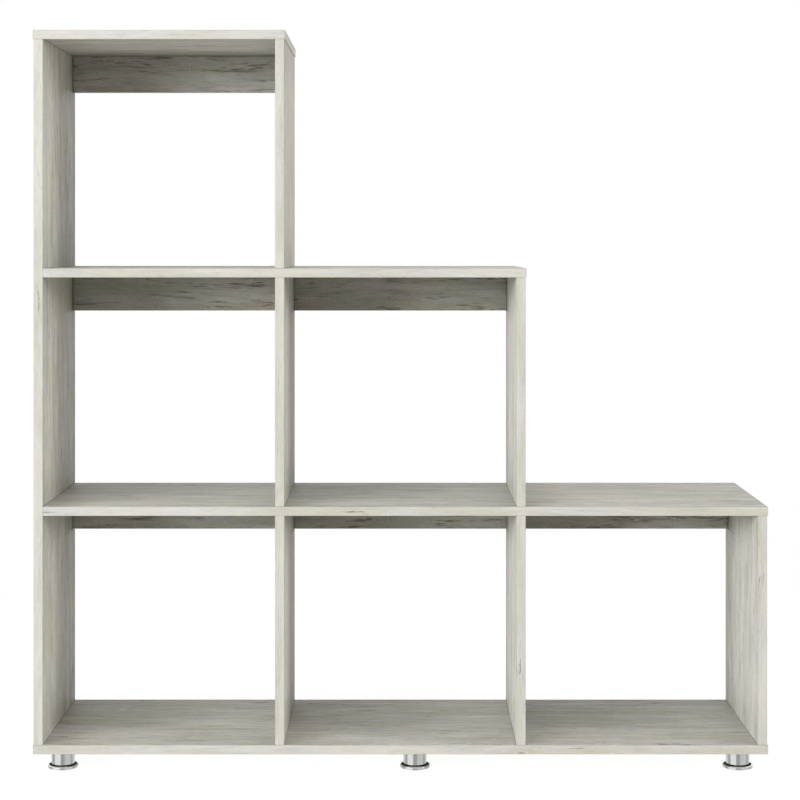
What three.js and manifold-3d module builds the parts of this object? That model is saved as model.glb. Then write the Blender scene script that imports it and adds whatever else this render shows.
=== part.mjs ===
// A staircase bookshelf: six open compartments that step up from right to left, built from
// edge-banded boards with dowels and hidden screws, on six chromed feet that screw up and down.
// Millimetres. X runs to the right, the front faces -Y, Z is up, and the floor is z = 0.
// The origin lies on the floor, under the middle of the overall box.

import * as THREE from "three";
import { mergeVertices } from "three/addons/utils/BufferGeometryUtils.js";
import Module from "manifold-3d";

// Boards and compartments
const BOARD_THICKNESS = 15;
const BAY_WIDTH = 380; // clear width of one compartment
const BAY_HEIGHT = 375; // clear height of one compartment
const CARCASS_DEPTH = 330;
const PANEL_OVERHANG = 1.5; // how far a panel stands out past the upright below its free end
const EDGE_EASING = 0.6; // chamfer that takes the sharpness off every board edge

// The staircase, from the floor up: how many compartments stand side by side on each level
const LEVELS = [
  { name: "lower", bays: 3, shelf: "lower_shelf" },
  { name: "middle", bays: 2, shelf: "middle_shelf" },
  { name: "upper", bays: 1, shelf: "top_panel" },
];

// Back rails, cut from the same board, one under the rear of every ceiling
const RAIL_HEIGHT = 64.75;
const RAIL_SETBACK = 7.5; // from the rear edge of the shelves to the back of the rail
const RAIL_DOWEL_PITCH = 32; // between the two dowels in the end of a rail

// Dowels, glued into the board that carries them
const DOWEL_DIAMETER = 8;
const DOWEL_TIP_GAP = 1; // left between two dowels that meet end to end inside one board
const DOWEL_EMBEDMENT = 10; // glued length inside its own board
const DOWEL_CLEARANCE = 0.3; // all round, in the bore that takes it
const DOWEL_SIDES = 8;

// One-piece carcass screws, driven through a panel into the end grain of the next board
const SCREW_LENGTH = 50;
const SCREW_HEAD_DIAMETER = 10;
const SCREW_NECK_DIAMETER = 7;
const SCREW_NECK_LENGTH = 12; // from the face of the head to the end of the plain neck
const SCREW_CORE_DIAMETER = 5;
const SCREW_POINT_LENGTH = 4;
const SCREW_HEX_SIZE = 4; // across the flats of the key socket
const SCREW_HEX_DEPTH = 3;
const SCREW_CLEARANCE = 0.3; // all round, in its hole
const SCREW_SIDES = 8;
const FASTENER_SETBACK = 60; // from the front and the rear edge to the outer fasteners

// Levelling feet, drawn here screwed right in
const FOOT_HEIGHT = 31.25; // floor to the underside of the bottom panel
const FOOT_INSET = 43; // foot axis to the panel's end, and to its front or rear edge
const CENTRE_FOOT_OFFSET = 24.3; // the middle pair stands this far right of the centre line
const OUTER_SIDES = 18; // facets of the sleeve and the cup
const BASE_SIDES = 16;
const SOCKET_SIDES = 12;

// Chromed floor cup of a foot
const CUP_DIAMETER = 49.8;
const CUP_HEIGHT = 6;
const CUP_WALL = 0.8;
const CUP_RIM_ROLL = 2.5; // how far the rim is rolled in from the widest diameter
const CUP_BELLY_HEIGHT = 1.3; // height of the widest diameter above the floor
const CUP_FOOT_CHAMFER = 0.7;

// Black threaded base that turns in the cup
const BASE_SINK = 1; // below the rim of the cup
const STEM_DIAMETER = 10;
const STEM_LENGTH = 22; // above the top of the base
const STEM_TIP_CHAMFER = 1;
const BASE_CLEARANCE = 0.4; // base to cup, and stem to socket
const STOP_CLEARANCE = 0.3; // base to socket when the foot is screwed right in

// Chromed sleeve of a foot
const SLEEVE_DIAMETER = 38.4;
const SLEEVE_WALL = 1;
const SLEEVE_ROLL = 2.4; // radius of the rolled lower edge
const SLEEVE_GAP = 0.3; // between the sleeve and the base when screwed right in

// Black socket inside the sleeve, pressed into the bottom panel by its spigot
const SOCKET_WALL = 1.8;
const SOCKET_PLATE = 4; // solid plate under the panel, above the moulded relief
const SOCKET_HUB_DIAMETER = 17;
const SOCKET_FIT = 0.3; // to the sleeve round it and to the bore of the panel
const SPIGOT_DIAMETER = 10;
const SPIGOT_LENGTH = 11;
const SPIGOT_TIP_CHAMFER = 1;

// Finishes
const BOARD_COLOUR = 0xd2cfc4;
const CHROME_COLOUR = 0xd8d9db;
const ZINC_COLOUR = 0xb9bbb8;
const BLACK_COLOUR = 0x141414;

// Small lengths of the drawing itself
const CUT_OVERRUN = 0.1; // how far a cutter runs past the face that it opens
const BOARD_GRID = 1 / 64; // 32-bit meshes hold multiples of this exactly
const ARC_STEPS = 2; // facets of a small rolled edge

const wasm = await Module();
wasm.setup();

// Rounds a board's face to the grid, so that boards that touch share one plane exactly.
const onGrid = (length) => Math.round(length / BOARD_GRID) * BOARD_GRID;

// Turns a closed three.js geometry into a solid that can be joined and cut.
function solidOf(geometry) {
  const bare = geometry.clone();
  bare.deleteAttribute("normal");
  bare.deleteAttribute("uv");
  const merged = mergeVertices(bare);
  return new wasm.Manifold(
    new wasm.Mesh({
      numProp: 3,
      vertProperties: merged.attributes.position.array,
      triVerts: new Uint32Array(merged.index.array),
    }),
  );
}

// Turns a solid back into a flat-shaded geometry.
function geometryOf(solid) {
  const { vertProperties, triVerts } = solid.getMesh();
  const geometry = new THREE.BufferGeometry()
    .setAttribute("position", new THREE.BufferAttribute(vertProperties, 3))
    .setIndex(new THREE.BufferAttribute(triVerts, 1))
    .toNonIndexed();
  geometry.computeVertexNormals();
  return geometry;
}

// Stands a geometry that was drawn along +Y on a point, along any direction.
function placed(geometry, at, direction) {
  const turn = new THREE.Quaternion().setFromUnitVectors(new THREE.Vector3(0, 1, 0), direction);
  const matrix = new THREE.Matrix4().compose(at, turn, new THREE.Vector3(1, 1, 1));
  return geometry.clone().applyMatrix4(matrix);
}

// Revolves an outline of [radius, height] pairs, listed from the bottom up round its outside.
function revolved(outline, sides) {
  const points = outline.map(([radius, height]) => new THREE.Vector2(radius, height));
  return new THREE.LatheGeometry(points, sides);
}

// Quarter ellipse of [radius, height] pairs round a centre, from one angle to another.
function arc(centreRadius, centreHeight, reach, rise, fromDegrees, toDegrees) {
  const points = [];
  for (let step = 0; step <= ARC_STEPS; step += 1) {
    const share = step / ARC_STEPS;
    const angle = THREE.MathUtils.degToRad(THREE.MathUtils.lerp(fromDegrees, toDegrees, share));
    points.push([centreRadius + reach * Math.cos(angle), centreHeight + rise * Math.sin(angle)]);
  }
  return points;
}

const finish = (color, roughness, metalness) =>
  new THREE.MeshStandardMaterial({ color, roughness, metalness });
const boardFinish = () => finish(BOARD_COLOUR, 0.55, 0);
const chromeFinish = () => finish(CHROME_COLOUR, 0.12, 1);
const zincFinish = () => finish(ZINC_COLOUR, 0.35, 1);
const blackFinish = () => finish(BLACK_COLOUR, 0.5, 0);

function mesh(name, geometry, material) {
  const made = new THREE.Mesh(geometry, material);
  made.name = name;
  return made;
}

// Where the boards stand
const bayPitch = BAY_WIDTH + BOARD_THICKNESS;
const levelPitch = BAY_HEIGHT + BOARD_THICKNESS;
const halfDepth = CARCASS_DEPTH / 2;
const halfWidth = (LEVELS[0].bays * bayPitch + BOARD_THICKNESS) / 2;
const halfBoard = BOARD_THICKNESS / 2;
const topLevel = LEVELS.length - 1;
const undersideZ = onGrid(FOOT_HEIGHT);
const uprightX = (index) => -halfWidth + index * bayPitch; // left face of an upright
const floorZ = (level) => undersideZ + BOARD_THICKNESS + level * levelPitch; // of a level
const ceilingZ = (level) => floorZ(level) + BAY_HEIGHT;

// Stands up a board that was drawn flat: its length along Y, its width along Z.
const uprightTurn = new THREE.Matrix4().makeBasis(
  new THREE.Vector3(0, 1, 0),
  new THREE.Vector3(0, 0, 1),
  new THREE.Vector3(1, 0, 0),
);

// A board between two corners, with every edge eased.
function boardGeometry(low, high) {
  const size = new THREE.Vector3().subVectors(high, low);
  const flat = ["x", "y", "z"].filter((axis) => size[axis] !== Math.min(...size));
  const [length, width] = flat.map((axis) => size[axis] / 2);
  const thickness = Math.min(...size);
  const outline = new THREE.Shape([
    new THREE.Vector2(-length, -width + EDGE_EASING),
    new THREE.Vector2(-length + EDGE_EASING, -width),
    new THREE.Vector2(length - EDGE_EASING, -width),
    new THREE.Vector2(length, -width + EDGE_EASING),
    new THREE.Vector2(length, width - EDGE_EASING),
    new THREE.Vector2(length - EDGE_EASING, width),
    new THREE.Vector2(-length + EDGE_EASING, width),
    new THREE.Vector2(-length, width - EDGE_EASING),
  ]);
  const geometry = new THREE.ExtrudeGeometry(outline, {
    depth: thickness - 2 * EDGE_EASING,
    bevelThickness: EDGE_EASING,
    bevelSize: EDGE_EASING,
    bevelOffset: -EDGE_EASING,
    bevelSegments: 1,
  });
  geometry.translate(0, 0, EDGE_EASING - thickness / 2);
  if (!flat.includes("x")) geometry.applyMatrix4(uprightTurn);
  if (!flat.includes("y")) geometry.rotateX(Math.PI / 2);
  return geometry;
}

// Tells pieces of one kind on one level apart by where they stand in their row.
function place(index, count) {
  if (count === 1) return "";
  if (index === 0) return "_left";
  if (index === count - 1) return "_right";
  return count === 3 ? "_centre" : "_" + (index + 1);
}

// Every board of the carcass: name and two corners
function carcassBoards() {
  const boards = [];
  const addBoard = (kind, level, name, x, y, z) => {
    const low = new THREE.Vector3(onGrid(x[0]), onGrid(y[0]), onGrid(z[0]));
    const high = new THREE.Vector3(onGrid(x[1]), onGrid(y[1]), onGrid(z[1]));
    boards.push({ kind, level, name, low, high });
  };
  const fullDepth = [-halfDepth, halfDepth];
  const railDepth = [halfDepth - RAIL_SETBACK - BOARD_THICKNESS, halfDepth - RAIL_SETBACK];
  const panelEnd = halfWidth + PANEL_OVERHANG;
  const innerLeft = -halfWidth + BOARD_THICKNESS;

  addBoard("cap", 0, "bottom_panel", [-panelEnd, panelEnd], fullDepth, [undersideZ, floorZ(0)]);
  const sideHeight = [floorZ(0), ceilingZ(topLevel)];
  addBoard("side", topLevel, "left_side_panel", [-halfWidth, innerLeft], fullDepth, sideHeight);
  LEVELS.forEach(({ name, bays, shelf }, level) => {
    const kind = level === topLevel ? "cap" : "shelf";
    const shelfLeft = level === topLevel ? -panelEnd : innerLeft;
    const shelfRight = uprightX(bays) + BOARD_THICKNESS + PANEL_OVERHANG;
    const ceiling = ceilingZ(level);
    const shelfHeight = [ceiling, ceiling + BOARD_THICKNESS];
    addBoard(kind, level, shelf, [shelfLeft, shelfRight], fullDepth, shelfHeight);
    for (let index = 1; index <= bays; index += 1) {
      const x = [uprightX(index), uprightX(index) + BOARD_THICKNESS];
      const divider = "_divider" + place(index - 1, bays - 1);
      const upright = name + (index === bays ? "_right_side" : divider);
      addBoard("upright", level, upright, x, fullDepth, [floorZ(level), ceiling]);
    }
    for (let bay = 0; bay < bays; bay += 1) {
      const x = [uprightX(bay) + BOARD_THICKNESS, uprightX(bay + 1)];
      const rail = name + "_back_rail" + place(bay, bays);
      addBoard("rail", level, rail, x, railDepth, [ceiling - RAIL_HEIGHT, ceiling]);
    }
  });
  return boards;
}

// Dowels and screws, each a point on a joint and the way that it points
const up = new THREE.Vector3(0, 0, 1);
const down = new THREE.Vector3(0, 0, -1);
const toRight = new THREE.Vector3(1, 0, 0);
const toLeft = new THREE.Vector3(-1, 0, 0);
const fastenerY = halfDepth - FASTENER_SETBACK;

// A joint holds two screws with a dowel between them, or two dowels where a screw would show.
function dowels(boards) {
  const found = [];
  const addRow = (owner, x, z, direction, places) =>
    places.forEach((y) => found.push({ owner, at: new THREE.Vector3(x, y, z), direction }));
  const pair = [-fastenerY, fastenerY];
  const lone = [0];
  boards.forEach(({ kind, level, name, low, high }) => {
    const middle = new THREE.Vector3().addVectors(low, high).multiplyScalar(1 / 2);
    if (kind === "rail") {
      [middle.z - RAIL_DOWEL_PITCH / 2, middle.z + RAIL_DOWEL_PITCH / 2].forEach((z) => {
        addRow(name, low.x, z, toLeft, [middle.y]);
        addRow(name, high.x, z, toRight, [middle.y]);
      });
    }
    if (kind === "shelf") addRow(name, low.x, middle.z, toLeft, lone);
    if (kind === "side") {
      addRow(name, middle.x, low.z, down, lone);
      addRow(name, middle.x, high.z, up, lone);
    }
    if (kind === "upright") {
      addRow(name, middle.x, low.z, down, level === 0 ? lone : pair);
      addRow(name, middle.x, high.z, up, level === topLevel ? lone : pair);
    }
  });
  return found;
}

// Screws enter from below, from the top and from the outer face of the left side.
function screws() {
  const found = [];
  const addPair = (name, x, z, direction) => {
    found.push({ name: name + "_front", at: new THREE.Vector3(x, -fastenerY, z), direction });
    found.push({ name: name + "_rear", at: new THREE.Vector3(x, fastenerY, z), direction });
  };
  for (let index = 0; index <= LEVELS[0].bays; index += 1)
    addPair("bottom_screw_" + (index + 1), uprightX(index) + halfBoard, undersideZ, up);
  const topZ = ceilingZ(topLevel) + BOARD_THICKNESS;
  for (let index = 0; index <= LEVELS[topLevel].bays; index += 1)
    addPair("top_screw_" + (index + 1), uprightX(index) + halfBoard, topZ, down);
  for (let level = 0; level < topLevel; level += 1)
    addPair("side_screw_" + (level + 1), -halfWidth, ceilingZ(level) + halfBoard, toRight);
  return found;
}

// Two dowels that come from both sides of a board leave DOWEL_TIP_GAP between their tips.
const dowelStandout = (BOARD_THICKNESS - DOWEL_TIP_GAP) / 2;

function dowelGeometry() {
  const radius = DOWEL_DIAMETER / 2;
  return revolved(
    [
      [0, -DOWEL_EMBEDMENT],
      [radius, -DOWEL_EMBEDMENT],
      [radius, dowelStandout],
      [0, dowelStandout],
    ],
    DOWEL_SIDES,
  );
}

// The bore for a dowel goes just past the middle of the board, so two that meet run through.
function dowelBore() {
  const radius = DOWEL_DIAMETER / 2 + DOWEL_CLEARANCE;
  return revolved(
    [
      [0, -CUT_OVERRUN],
      [radius, -CUT_OVERRUN],
      [radius, halfBoard + CUT_OVERRUN],
      [0, halfBoard + CUT_OVERRUN],
    ],
    DOWEL_SIDES,
  );
}

// The outline of a screw, or of the hole that clears it, from the face of its head inwards.
function screwOutline(clearance, overrun) {
  const head = SCREW_HEAD_DIAMETER / 2 + clearance;
  const neck = SCREW_NECK_DIAMETER / 2 + clearance;
  const core = SCREW_CORE_DIAMETER / 2 + clearance;
  const coneEnd = head - neck;
  return [
    [0, -overrun],
    [head + overrun, -overrun],
    [neck, coneEnd],
    [neck, SCREW_NECK_LENGTH + clearance],
    [core, SCREW_NECK_LENGTH + neck - core + clearance],
    [core, SCREW_LENGTH - SCREW_POINT_LENGTH + clearance],
    [0, SCREW_LENGTH + clearance],
  ];
}

function screwGeometry() {
  const hexRadius = SCREW_HEX_SIZE / 2 / Math.cos(Math.PI / 6);
  const key = new THREE.CylinderGeometry(hexRadius, hexRadius, 2 * SCREW_HEX_DEPTH, 6);
  const body = solidOf(revolved(screwOutline(0, 0), SCREW_SIDES));
  return geometryOf(body.subtract(solidOf(key)));
}

// The carcass: every board joined with its own dowels and bored for everything that enters it
function carcass() {
  const group = new THREE.Group();
  const boards = carcassBoards();
  const pegs = dowels(boards);
  const drivenScrews = screws();
  const peg = dowelGeometry();
  const cutters = [
    ...pegs.map(({ owner, at, direction }) => ({
      owner,
      solid: solidOf(placed(dowelBore(), at, direction)),
    })),
    ...drivenScrews.map(({ at, direction }) => ({
      solid: solidOf(
        placed(revolved(screwOutline(SCREW_CLEARANCE, CUT_OVERRUN), SCREW_SIDES), at, direction),
      ),
    })),
    ...footPlaces().map(({ x, y }) => ({
      solid: solidOf(placed(spigotBore(), new THREE.Vector3(x, y, undersideZ), up)),
    })),
  ];
  boards.forEach(({ name, low, high }) => {
    const centre = new THREE.Vector3().addVectors(low, high).multiplyScalar(1 / 2);
    const plain = boardGeometry(low, high).translate(...centre);
    let body = solidOf(plain);
    cutters
      .filter(({ owner }) => owner !== name)
      .forEach(({ solid }) => {
        body = body.subtract(solid);
      });
    pegs
      .filter(({ owner }) => owner === name)
      .forEach(({ at, direction }) => {
        body = body.add(solidOf(placed(peg, at, direction)));
      });
    const geometry = geometryOf(body).translate(-centre.x, -centre.y, -centre.z);
    const board = mesh(name, geometry, boardFinish());
    board.position.copy(centre);
    group.add(board);
  });
  drivenScrews.forEach(({ name, at, direction }) => {
    const screw = mesh(name, screwGeometry(), zincFinish());
    screw.position.copy(at);
    screw.quaternion.setFromUnitVectors(new THREE.Vector3(0, 1, 0), direction);
    group.add(screw);
  });
  return group;
}

// Levelling feet
const baseTop = CUP_HEIGHT - BASE_SINK;
const sleeveBottom = baseTop + SLEEVE_GAP;
const cupRimRadius = CUP_DIAMETER / 2 - CUP_RIM_ROLL;
const cupRise = CUP_HEIGHT - CUP_BELLY_HEIGHT;

function footPlaces() {
  const sideX = halfWidth + PANEL_OVERHANG - FOOT_INSET;
  const rowY = halfDepth - FOOT_INSET;
  const columns = { left: -sideX, centre: CENTRE_FOOT_OFFSET, right: sideX };
  const rows = { front: -rowY, rear: rowY };
  return Object.entries(rows).flatMap(([row, y]) =>
    Object.entries(columns).map(([column, x]) => ({ name: row + "_" + column + "_foot", x, y })),
  );
}

// A shallow stamped cup that stands on the floor, its rim rolled in over the base
function cupGeometry() {
  const outerRadius = CUP_DIAMETER / 2;
  const innerReach = CUP_RIM_ROLL - CUP_WALL;
  return revolved(
    [
      [0, 0],
      [outerRadius - CUP_FOOT_CHAMFER, 0],
      ...arc(cupRimRadius, CUP_BELLY_HEIGHT, CUP_RIM_ROLL, cupRise, 0, 90),
      ...arc(cupRimRadius, CUP_BELLY_HEIGHT, innerReach, cupRise - CUP_WALL, 90, 0),
      [cupRimRadius + innerReach, CUP_WALL],
      [0, CUP_WALL],
    ],
    OUTER_SIDES,
  );
}

// A plastic disc trapped under the rim of the cup, in one with its threaded stem
function baseGeometry() {
  const reach = CUP_RIM_ROLL - CUP_WALL - BASE_CLEARANCE;
  const rise = cupRise - CUP_WALL - BASE_CLEARANCE;
  const bodyRadius = cupRimRadius - BASE_CLEARANCE;
  const stemRadius = STEM_DIAMETER / 2;
  const stemTop = baseTop + STEM_LENGTH;
  return revolved(
    [
      [0, CUP_WALL],
      [cupRimRadius + reach, CUP_WALL],
      ...arc(bodyRadius, CUP_BELLY_HEIGHT, reach + BASE_CLEARANCE, rise, 0, 90),
      [bodyRadius, baseTop],
      [stemRadius, baseTop],
      [stemRadius, stemTop - STEM_TIP_CHAMFER],
      [stemRadius - STEM_TIP_CHAMFER, stemTop],
      [0, stemTop],
    ],
    BASE_SIDES,
  );
}

// A drawn tube whose lower edge is rolled in
function sleeveGeometry() {
  const radius = SLEEVE_DIAMETER / 2;
  const lipRadius = radius - SLEEVE_ROLL;
  const rollHeight = sleeveBottom + SLEEVE_ROLL;
  const innerRoll = SLEEVE_ROLL - SLEEVE_WALL;
  const outer = arc(lipRadius, rollHeight, SLEEVE_ROLL, SLEEVE_ROLL, -90, 0);
  const inner = arc(lipRadius, rollHeight, innerRoll, innerRoll, 0, -90);
  return revolved(
    [...outer, [radius, undersideZ], [radius - SLEEVE_WALL, undersideZ], ...inner, outer[0]],
    OUTER_SIDES,
  );
}

// A moulding with a wall, a relief and a tapped hub, hung from the panel by its spigot
function socketGeometry() {
  const outerRadius = SLEEVE_DIAMETER / 2 - SLEEVE_WALL - SOCKET_FIT;
  const hubRadius = SOCKET_HUB_DIAMETER / 2;
  const boreRadius = STEM_DIAMETER / 2 + BASE_CLEARANCE;
  const boreTop = baseTop + STEM_LENGTH + STOP_CLEARANCE;
  const wallBottom = sleeveBottom + SLEEVE_ROLL + SOCKET_FIT;
  const hubBottom = baseTop + STOP_CLEARANCE;
  const reliefTop = undersideZ - SOCKET_PLATE;
  const spigotRadius = SPIGOT_DIAMETER / 2;
  const spigotTop = undersideZ + SPIGOT_LENGTH;
  return revolved(
    [
      [0, boreTop],
      [boreRadius, boreTop],
      [boreRadius, hubBottom],
      [hubRadius, hubBottom],
      [hubRadius, reliefTop],
      [outerRadius - SOCKET_WALL, reliefTop],
      [outerRadius - SOCKET_WALL, wallBottom],
      [outerRadius, wallBottom],
      [outerRadius, undersideZ],
      [spigotRadius, undersideZ],
      [spigotRadius, spigotTop - SPIGOT_TIP_CHAMFER],
      [spigotRadius - SPIGOT_TIP_CHAMFER, spigotTop],
      [0, spigotTop],
    ],
    SOCKET_SIDES,
  );
}

function spigotBore() {
  const radius = SPIGOT_DIAMETER / 2 + SOCKET_FIT;
  return revolved(
    [
      [0, -CUT_OVERRUN],
      [radius, -CUT_OVERRUN],
      [radius, SPIGOT_LENGTH + SOCKET_FIT],
      [0, SPIGOT_LENGTH + SOCKET_FIT],
    ],
    SOCKET_SIDES,
  );
}

function foot({ name, x, y }) {
  const group = new THREE.Group();
  const pieces = [
    mesh(name + "_cup", cupGeometry(), chromeFinish()),
    mesh(name + "_threaded_base", baseGeometry(), blackFinish()),
    mesh(name + "_sleeve", sleeveGeometry(), chromeFinish()),
    mesh(name + "_socket", socketGeometry(), blackFinish()),
  ];
  pieces.forEach((piece) => {
    piece.rotation.x = Math.PI / 2;
    group.add(piece);
  });
  group.position.set(x, y, 0);
  return group;
}

const bookshelf = new THREE.Group();
bookshelf.add(carcass(), ...footPlaces().map(foot));

export default bookshelf;
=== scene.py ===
# %% [markdown]
# A staircase bookshelf in whitewashed oak decor, dressed for a product picture.
# Its construction comes in as a fixed frame: every board, screw and foot is there at its real
# size, in metres, with X to the right, the front facing -Y and Z up. This lesson adds what
# construction leaves plain: the printed wood decor with its edge bands, the chrome, zinc and
# plastic finishes, and finely turned copies of the small round parts.

import math

import bmesh
import bpy
from mathutils import Euler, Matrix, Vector


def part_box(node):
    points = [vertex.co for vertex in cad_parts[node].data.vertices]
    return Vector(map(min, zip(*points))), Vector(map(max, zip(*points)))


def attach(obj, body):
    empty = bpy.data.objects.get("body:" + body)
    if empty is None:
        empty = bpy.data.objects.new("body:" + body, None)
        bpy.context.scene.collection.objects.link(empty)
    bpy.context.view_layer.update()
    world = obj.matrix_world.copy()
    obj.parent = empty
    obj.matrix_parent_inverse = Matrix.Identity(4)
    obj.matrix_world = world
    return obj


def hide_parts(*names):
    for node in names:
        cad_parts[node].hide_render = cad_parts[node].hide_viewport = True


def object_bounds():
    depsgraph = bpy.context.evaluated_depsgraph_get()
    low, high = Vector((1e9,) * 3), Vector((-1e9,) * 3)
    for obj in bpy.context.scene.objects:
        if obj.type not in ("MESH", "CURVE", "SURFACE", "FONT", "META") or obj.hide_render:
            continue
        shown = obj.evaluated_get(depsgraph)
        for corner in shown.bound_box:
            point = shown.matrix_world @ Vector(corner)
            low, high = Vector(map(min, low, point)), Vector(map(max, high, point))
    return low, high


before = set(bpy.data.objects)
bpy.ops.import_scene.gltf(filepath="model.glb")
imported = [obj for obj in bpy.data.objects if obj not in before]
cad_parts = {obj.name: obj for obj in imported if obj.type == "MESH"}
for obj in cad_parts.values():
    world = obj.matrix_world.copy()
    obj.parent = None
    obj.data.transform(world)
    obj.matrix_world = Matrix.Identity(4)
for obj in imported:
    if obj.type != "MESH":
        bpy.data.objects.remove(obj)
cad_low, cad_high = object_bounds()
MM = 0.001
print("bookshelf of", len(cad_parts), "nodes")
print("size in metres:", [round(side, 4) for side in cad_high - cad_low])

# %% [markdown]
# The picture was taken level, square to the front, from a good three metres away, and the eye was
# far above the middle of the frame. A lens shift does that without tilting the camera, so that all
# uprights stay parallel. The distance and the shift follow from the vanishing point of the
# shelves, and the size of a pixel from the thickness of the boards.

# %% Camera
PICTURE_PIXELS = 800
PIXEL_ON_FRONT = 1.6355 * MM
EYE_DISTANCE = 3.303
VANISHING_PIXEL = (400.35, 241.6)
PANEL_UNDERSIDE_PIXEL = 754.4
SENSOR_MM = 36.0

panel_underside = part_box("bottom_panel")[0].z
eye_height = panel_underside + (PANEL_UNDERSIDE_PIXEL - VANISHING_PIXEL[1]) * PIXEL_ON_FRONT
camera_data = bpy.data.cameras.new("camera")
camera_data.sensor_width = SENSOR_MM
camera_data.lens = SENSOR_MM * EYE_DISTANCE / (PICTURE_PIXELS * PIXEL_ON_FRONT)
camera_data.shift_x = (PICTURE_PIXELS / 2 - VANISHING_PIXEL[0]) / PICTURE_PIXELS
camera_data.shift_y = (VANISHING_PIXEL[1] - PICTURE_PIXELS / 2) / PICTURE_PIXELS
camera = bpy.data.objects.new("camera", camera_data)
camera.location = (0, cad_low.y - EYE_DISTANCE, eye_height)
camera.rotation_euler = (math.radians(90), 0, 0)
bpy.context.scene.collection.objects.link(camera)
bpy.context.scene.camera = camera
bpy.context.scene.view_settings.view_transform = "Standard"
print("camera at", [round(value, 3) for value in camera.location])
print("lens", round(camera_data.lens, 1), "mm")

# %% [markdown]
# Node trees are easier to read when a small helper does the wiring. `feed` sets a socket to a
# number or links it to another node's output, so every helper below takes either of the two.

# %% Node helpers
def feed(tree, socket, value):
    if isinstance(value, bpy.types.NodeSocket):
        tree.links.new(value, socket)
    else:
        socket.default_value = value


def calc(tree, operation, *values):
    node = tree.nodes.new("ShaderNodeMath")
    node.operation = operation
    for socket, value in zip(node.inputs, values):
        feed(tree, socket, value)
    return node.outputs[0]


def vector_calc(tree, operation, *values):
    node = tree.nodes.new("ShaderNodeVectorMath")
    node.operation = operation
    for socket, value in zip(node.inputs, values):
        feed(tree, socket, value)
    return node.outputs[0]


def noise(tree, place, stretch, detail=2.0, roughness=0.5):
    node = tree.nodes.new("ShaderNodeTexNoise")
    feed(tree, node.inputs["Vector"], vector_calc(tree, "MULTIPLY", place, stretch))
    node.inputs["Scale"].default_value = 1
    node.inputs["Detail"].default_value = detail
    node.inputs["Roughness"].default_value = roughness
    return node.outputs[0]


def step(tree, value, start, end, low=0.0, high=1.0):
    node = tree.nodes.new("ShaderNodeMapRange")
    node.interpolation_type = "SMOOTHSTEP"
    feed(tree, node.inputs["Value"], value)
    limits = {"From Min": start, "From Max": end, "To Min": low, "To Max": high}
    for name, number in limits.items():
        node.inputs[name].default_value = number
    return node.outputs["Result"]


def mix(tree, share, first, second):
    node = tree.nodes.new("ShaderNodeMix")
    node.data_type = "RGBA"
    feed(tree, node.inputs[0], share)
    feed(tree, node.inputs[6], first)
    feed(tree, node.inputs[7], second)
    return node.outputs[2]


def parts_of(tree, vector):
    node = tree.nodes.new("ShaderNodeSeparateXYZ")
    feed(tree, node.inputs[0], vector)
    return node.outputs


def vector_of(tree, x, y, z):
    node = tree.nodes.new("ShaderNodeCombineXYZ")
    for socket, value in zip(node.inputs, (x, y, z)):
        feed(tree, socket, value)
    return node.outputs[0]


def choose(tree, share, first, second):
    node = tree.nodes.new("ShaderNodeMix")
    node.data_type = "VECTOR"
    feed(tree, node.inputs[0], share)
    feed(tree, node.inputs[4], first)
    feed(tree, node.inputs[5], second)
    return node.outputs[1]


# %% [markdown]
# The room is plain, with a white surround. It is pure white only for the camera and in
# reflections. What it adds to the boards is set apart and is slightly warm, so that the shaded
# faces keep their tone.

# %% World
SURROUND_LIGHT = 0.18
SURROUND_COLOUR = (1, 0.975, 0.91, 1)

world = bpy.data.worlds.new("studio")
bpy.context.scene.world = world
world.use_nodes = True
sky = world.node_tree
path = sky.nodes.new("ShaderNodeLightPath")
seen = calc(sky, "MAXIMUM", path.outputs["Is Camera Ray"], path.outputs["Is Glossy Ray"])
seen = calc(sky, "MAXIMUM", seen, path.outputs["Is Transmission Ray"])
background = sky.nodes["Background"]
feed(sky, background.inputs["Color"], mix(sky, seen, SURROUND_COLOUR, (1, 1, 1, 1)))
strength = sky.nodes.new("ShaderNodeMapRange")
feed(sky, strength.inputs["Value"], seen)
strength.inputs["To Min"].default_value = SURROUND_LIGHT
strength.inputs["To Max"].default_value = 1.0
feed(sky, background.inputs["Strength"], strength.outputs["Result"])
print("surround lights the boards with", SURROUND_LIGHT)

# %% [markdown]
# Two soft lights stand far out to the left of the camera, one to the right and a weak one above.
# The side lights stand low, so that they reach deep into the compartments, and ten metres off, so
# that both ends of the bookshelf get the same light. Each row is a place, a size, a power and a
# tint.

# %% Lamps
WHITE_LIGHT = (1, 1, 1)
WARM_LIGHT = (1, 0.97, 0.905)
LAMPS = {
    "lamp_left_front": ((-5.7, -8.1, 2.0), 3.0, 369.0, WHITE_LIGHT),
    "lamp_left": ((-8.1, -5.7, 2.0), 3.0, 399.0, WHITE_LIGHT),
    "lamp_right": ((9.3, -3.4, 2.0), 3.0, 318.0, WARM_LIGHT),
    "lamp_above": ((0, -0.9, 5.7), 3.5, 58.0, WARM_LIGHT),
}
AIM = Vector((0, 0, 0.6))

for name, (place, size, power, tint) in LAMPS.items():
    lamp_data = bpy.data.lights.new(name, "AREA")
    lamp_data.shape = "DISK"
    lamp_data.size = size
    lamp_data.energy = power
    lamp_data.color = tint
    lamp = bpy.data.objects.new(name, lamp_data)
    lamp.location = place
    lamp.rotation_euler = (AIM - Vector(place)).to_track_quat("-Z", "Y").to_euler()
    bpy.context.scene.collection.objects.link(lamp)
print(len(LAMPS), "lamps")
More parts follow.
